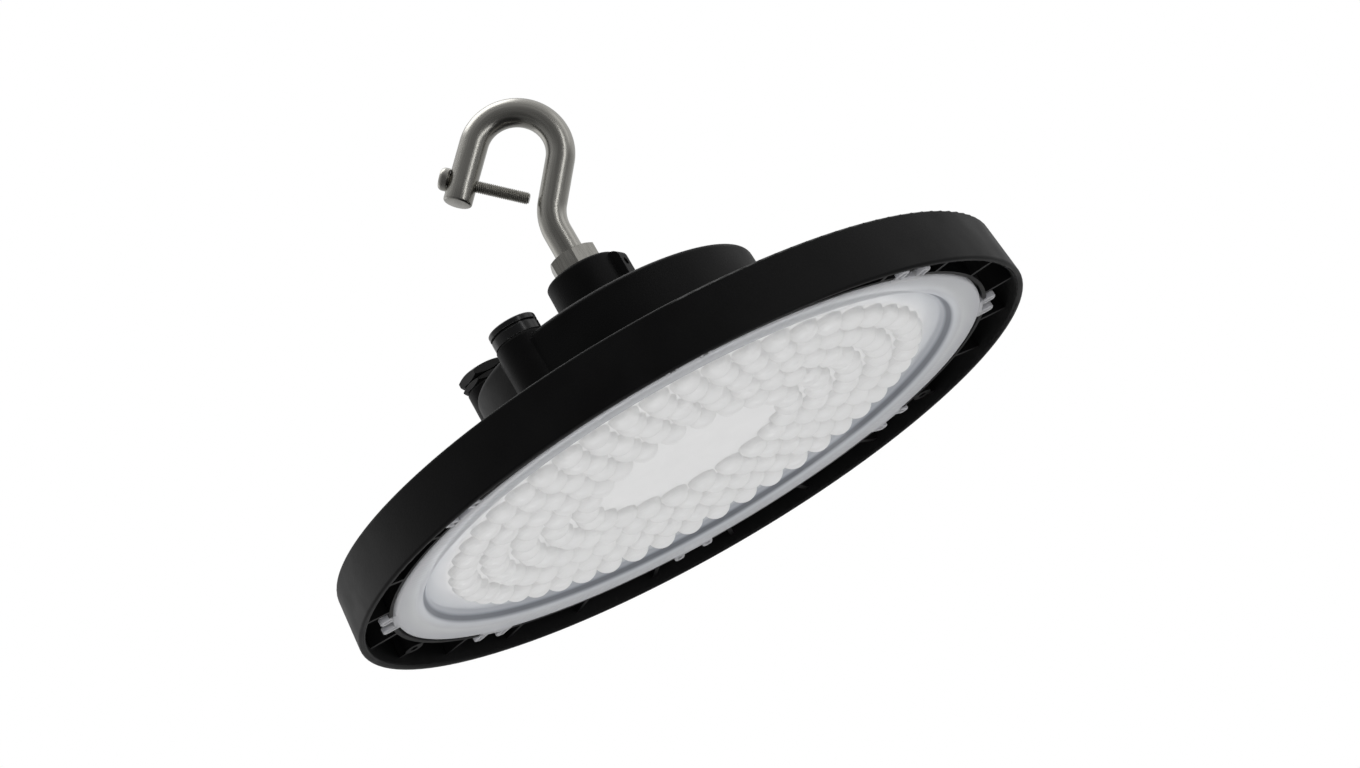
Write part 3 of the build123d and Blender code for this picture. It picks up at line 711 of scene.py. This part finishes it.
def safety_screw():
    """Makes the barring screw with its rolled thread and its cross recess."""
    shape = Shape()
    around = 40
    per_turn = 8
    low = SCREW_RADIUS - THREAD_DEPTH
    rows = int(SCREW_LENGTH / SCREW_PITCH * per_turn)
    last = None
    for row in range(rows + 1):
        z = SCREW_LENGTH * row / rows
        fade = min(1.0, (SCREW_LENGTH - z) / 0.9)
        now = []
        for i in range(around):
            t = 2 * pi * i / around
            phase = (z / SCREW_PITCH - i / around) % 1.0
            tooth = min(1.0, max(0.0, 1.55 - 3.1 * abs(phase - 0.5)))
            r = (low + THREAD_DEPTH * tooth) * (0.78 + 0.22 * fade)
            now.append(shape.point(r * cos(t), r * sin(t), z))
        if last is not None:
            shape.skin(last, now)
        last = now
    end = shape.point(0, 0, SCREW_LENGTH)
    for i in range(around):
        shape.face(last[i - 1], last[i], end)
    count = 64
    flat = HEAD_RADIUS - HEAD_ROUND
    outline = [(SCREW_RADIUS - 0.1, 0.0), (HEAD_RADIUS - 0.25, 0.0)]
    outline += [(HEAD_RADIUS, -0.25), (HEAD_RADIUS, -HEAD_SIDE)]
    for step in range(1, 7):
        t = step / 6 * pi / 2
        outline.append((flat + HEAD_ROUND * cos(t), -HEAD_SIDE - (HEAD_HEIGHT - HEAD_SIDE) * sin(t)))
    rings = [shape.ring(r, z, count) for r, z in outline]
    for first, second in zip(rings, rings[1:]):
        shape.skin(first, second)
    last = rings[-1]
    for step in range(1, 16):
        r = flat * (1 - step / 16)
        now = []
        for i in range(count):
            t = 2 * pi * i / count
            x, y = r * cos(t), r * sin(t)
            near, far = sorted((abs(x), abs(y)))
            sink = 0.0
            if near < RECESS_HALF_WIDTH and far < RECESS_REACH:
                sink = RECESS_DEPTH * min(1.0, (RECESS_REACH - far) / 1.3)
            now.append(shape.point(x, y, -HEAD_HEIGHT + sink))
        shape.skin(last, now)
        last = now
    centre = shape.point(0, 0, -HEAD_HEIGHT + RECESS_DEPTH)
    for i in range(count):
        shape.face(last[i - 1], last[i], centre)
    obj = shape.build("safety_screw", materials["stainless"], 30.0, screw_place())
    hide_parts("hook_safety_screw")
    return obj


# Studio


def camera():
    """Places the camera as fitted to the photograph."""
    right = Vector((1, 0, 0))
    up = Vector((0, -sin(PITCH), cos(PITCH)))
    back = Vector((0, -cos(PITCH), -sin(PITCH)))
    side = cos(ROLL) * right + sin(ROLL) * up
    top = -sin(ROLL) * right + cos(ROLL) * up
    axes = Matrix((side, top, back))
    turn = Matrix.Rotation(TURN, 3, "Z")
    position = turn @ (axes.transposed() @ -TARGET)
    data = bpy.data.cameras.new("camera")
    data.sensor_fit = "HORIZONTAL"
    data.sensor_width = 36.0
    data.lens = 36.0 * FOCAL_SHARE
    data.clip_start = 0.01
    data.clip_end = 50.0
    obj = bpy.data.objects.new("camera", data)
    obj.matrix_world = Matrix.Translation(position) @ (turn @ axes.transposed()).to_4x4()
    bpy.context.scene.collection.objects.link(obj)
    bpy.context.scene.camera = obj


def studio_way(x, y, z):
    """Turns a direction given beside the camera into the model's own axes."""
    return Matrix.Rotation(TURN, 3, "Z") @ Vector((x, y, z))


def world():
    """White backdrop, even soft light, and a room that is dimmer behind the camera in reflections."""
    data = bpy.data.worlds.new("studio")
    data.use_nodes = True
    tree = data.node_tree
    tree.nodes.clear()
    out = tree.nodes.new("ShaderNodeOutputWorld")
    path = add(tree, "LightPath")
    place = add(tree, "TexCoord")
    dot = add(tree, "VectorMath", operation="DOT_PRODUCT")
    dot.inputs[1].default_value = studio_way(0.1, 0.94, 0.33)
    tree.links.new(place.outputs["Generated"], dot.inputs[0])
    away = add(tree, "MapRange", From_Min=-0.75, From_Max=0.6, To_Min=0.12, To_Max=0.62)
    tree.links.new(dot.outputs["Value"], away.inputs["Value"])
    height = add(tree, "SeparateXYZ")
    tree.links.new(place.outputs["Generated"], height.inputs[0])
    lift = add(tree, "MapRange", From_Min=-0.17, From_Max=-0.1, To_Min=0.65, To_Max=1.0)
    tree.links.new(height.outputs["Z"], lift.inputs["Value"])
    room = add(tree, "Math", operation="MULTIPLY")
    tree.links.new(away.outputs["Result"], room.inputs[0])
    tree.links.new(lift.outputs["Result"], room.inputs[1])
    white = (1.0, 1.0, 1.0, 1.0)
    seen = add(tree, "Background", Color=white, Strength=1.0)
    mirrored = add(tree, "Background", Color=white)
    tree.links.new(room.outputs[0], mirrored.inputs["Strength"])
    light = add(tree, "Background", Color=white, Strength=0.61)
    glossy = add(tree, "MixShader")
    tree.links.new(path.outputs["Is Glossy Ray"], glossy.inputs["Fac"])
    tree.links.new(light.outputs[0], glossy.inputs[1])
    tree.links.new(mirrored.outputs[0], glossy.inputs[2])
    direct = add(tree, "Math", operation="MAXIMUM")
    tree.links.new(path.outputs["Is Camera Ray"], direct.inputs[0])
    tree.links.new(path.outputs["Is Transmission Ray"], direct.inputs[1])
    final = add(tree, "MixShader")
    tree.links.new(direct.outputs[0], final.inputs["Fac"])
    tree.links.new(glossy.outputs[0], final.inputs[1])
    tree.links.new(seen.outputs[0], final.inputs[2])
    tree.links.new(final.outputs[0], out.inputs["Surface"])
    bpy.context.scene.world = data


def soft_box(name, way, distance, size, power):
    """Hangs an area light in a direction from the object, turned towards it."""
    data = bpy.data.lights.new(name, "AREA")
    data.shape = "RECTANGLE"
    data.size, data.size_y = size
    data.energy = power
    obj = bpy.data.objects.new(name, data)
    middle = Vector((0.0, 0.0, 0.06))
    direction = studio_way(*way).normalized()
    obj.location = middle + direction * distance
    obj.rotation_euler = direction.to_track_quat("Z", "Y").to_euler()
    bpy.context.scene.collection.objects.link(obj)


def floor_plane():
    """Lays the pale floor well below the hanging light."""
    mesh = bpy.data.meshes.new("studio_floor")
    half = 6.0
    level = -2.2
    corners = [(-half, -half, level), (half, -half, level), (half, half, level), (-half, half, level)]
    mesh.from_pydata(corners, [], [(0, 1, 2, 3)])
    mat, tree, shader = new_material("studio_floor", Roughness=0.9, Specular_IOR_Level=0.1)
    tone = noise(tree, 3.0, 2.0)
    tree.links.new(ramp(tree, tone, (0.8, 0.8, 0.8), (0.83, 0.83, 0.83)), shader.inputs["Base Color"])
    mesh.materials.append(mat)
    obj = bpy.data.objects.new("studio_floor", mesh)
    bpy.context.scene.collection.objects.link(obj)
    obj.visible_glossy = False


def dress_nodes():
    """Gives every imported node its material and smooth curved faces."""
    slots = {part["node"]: part["material_slot"] for part in frame["record"]["subparts"]}
    for name, obj in nodes.items():
        obj.data.materials.clear()
        obj.data.materials.append(materials[slots[name]])
        smooth(obj.data, 28.0)


dress_nodes()
lens_mesh()
tab_meshes()
hook_mesh()
safety_screw()
camera()
world()
floor_plane()
soft_box("left_box", (-1.0, 0.5, 0.3), 2.2, (1.0, 1.4), 1.5)
soft_box("right_box", (1.0, 0.0, 0.35), 2.2, (0.8, 1.4), 1.5)
soft_box("front_box", (0.72, -0.64, -0.26), 1.9, (0.3, 2.8), 6.0)
soft_box("low_box", (0.0, -0.42, -0.9), 1.9, (1.3, 0.5), 4.0)
soft_box("streak_box", (-0.3, 0.1, -0.94), 1.9, (0.4, 0.8), 5.5)
soft_box("top_box", (0.0, 0.2, 1.0), 2.4, (1.8, 1.8), 20.0)

scene = bpy.context.scene
scene.view_settings.view_transform = "Standard"
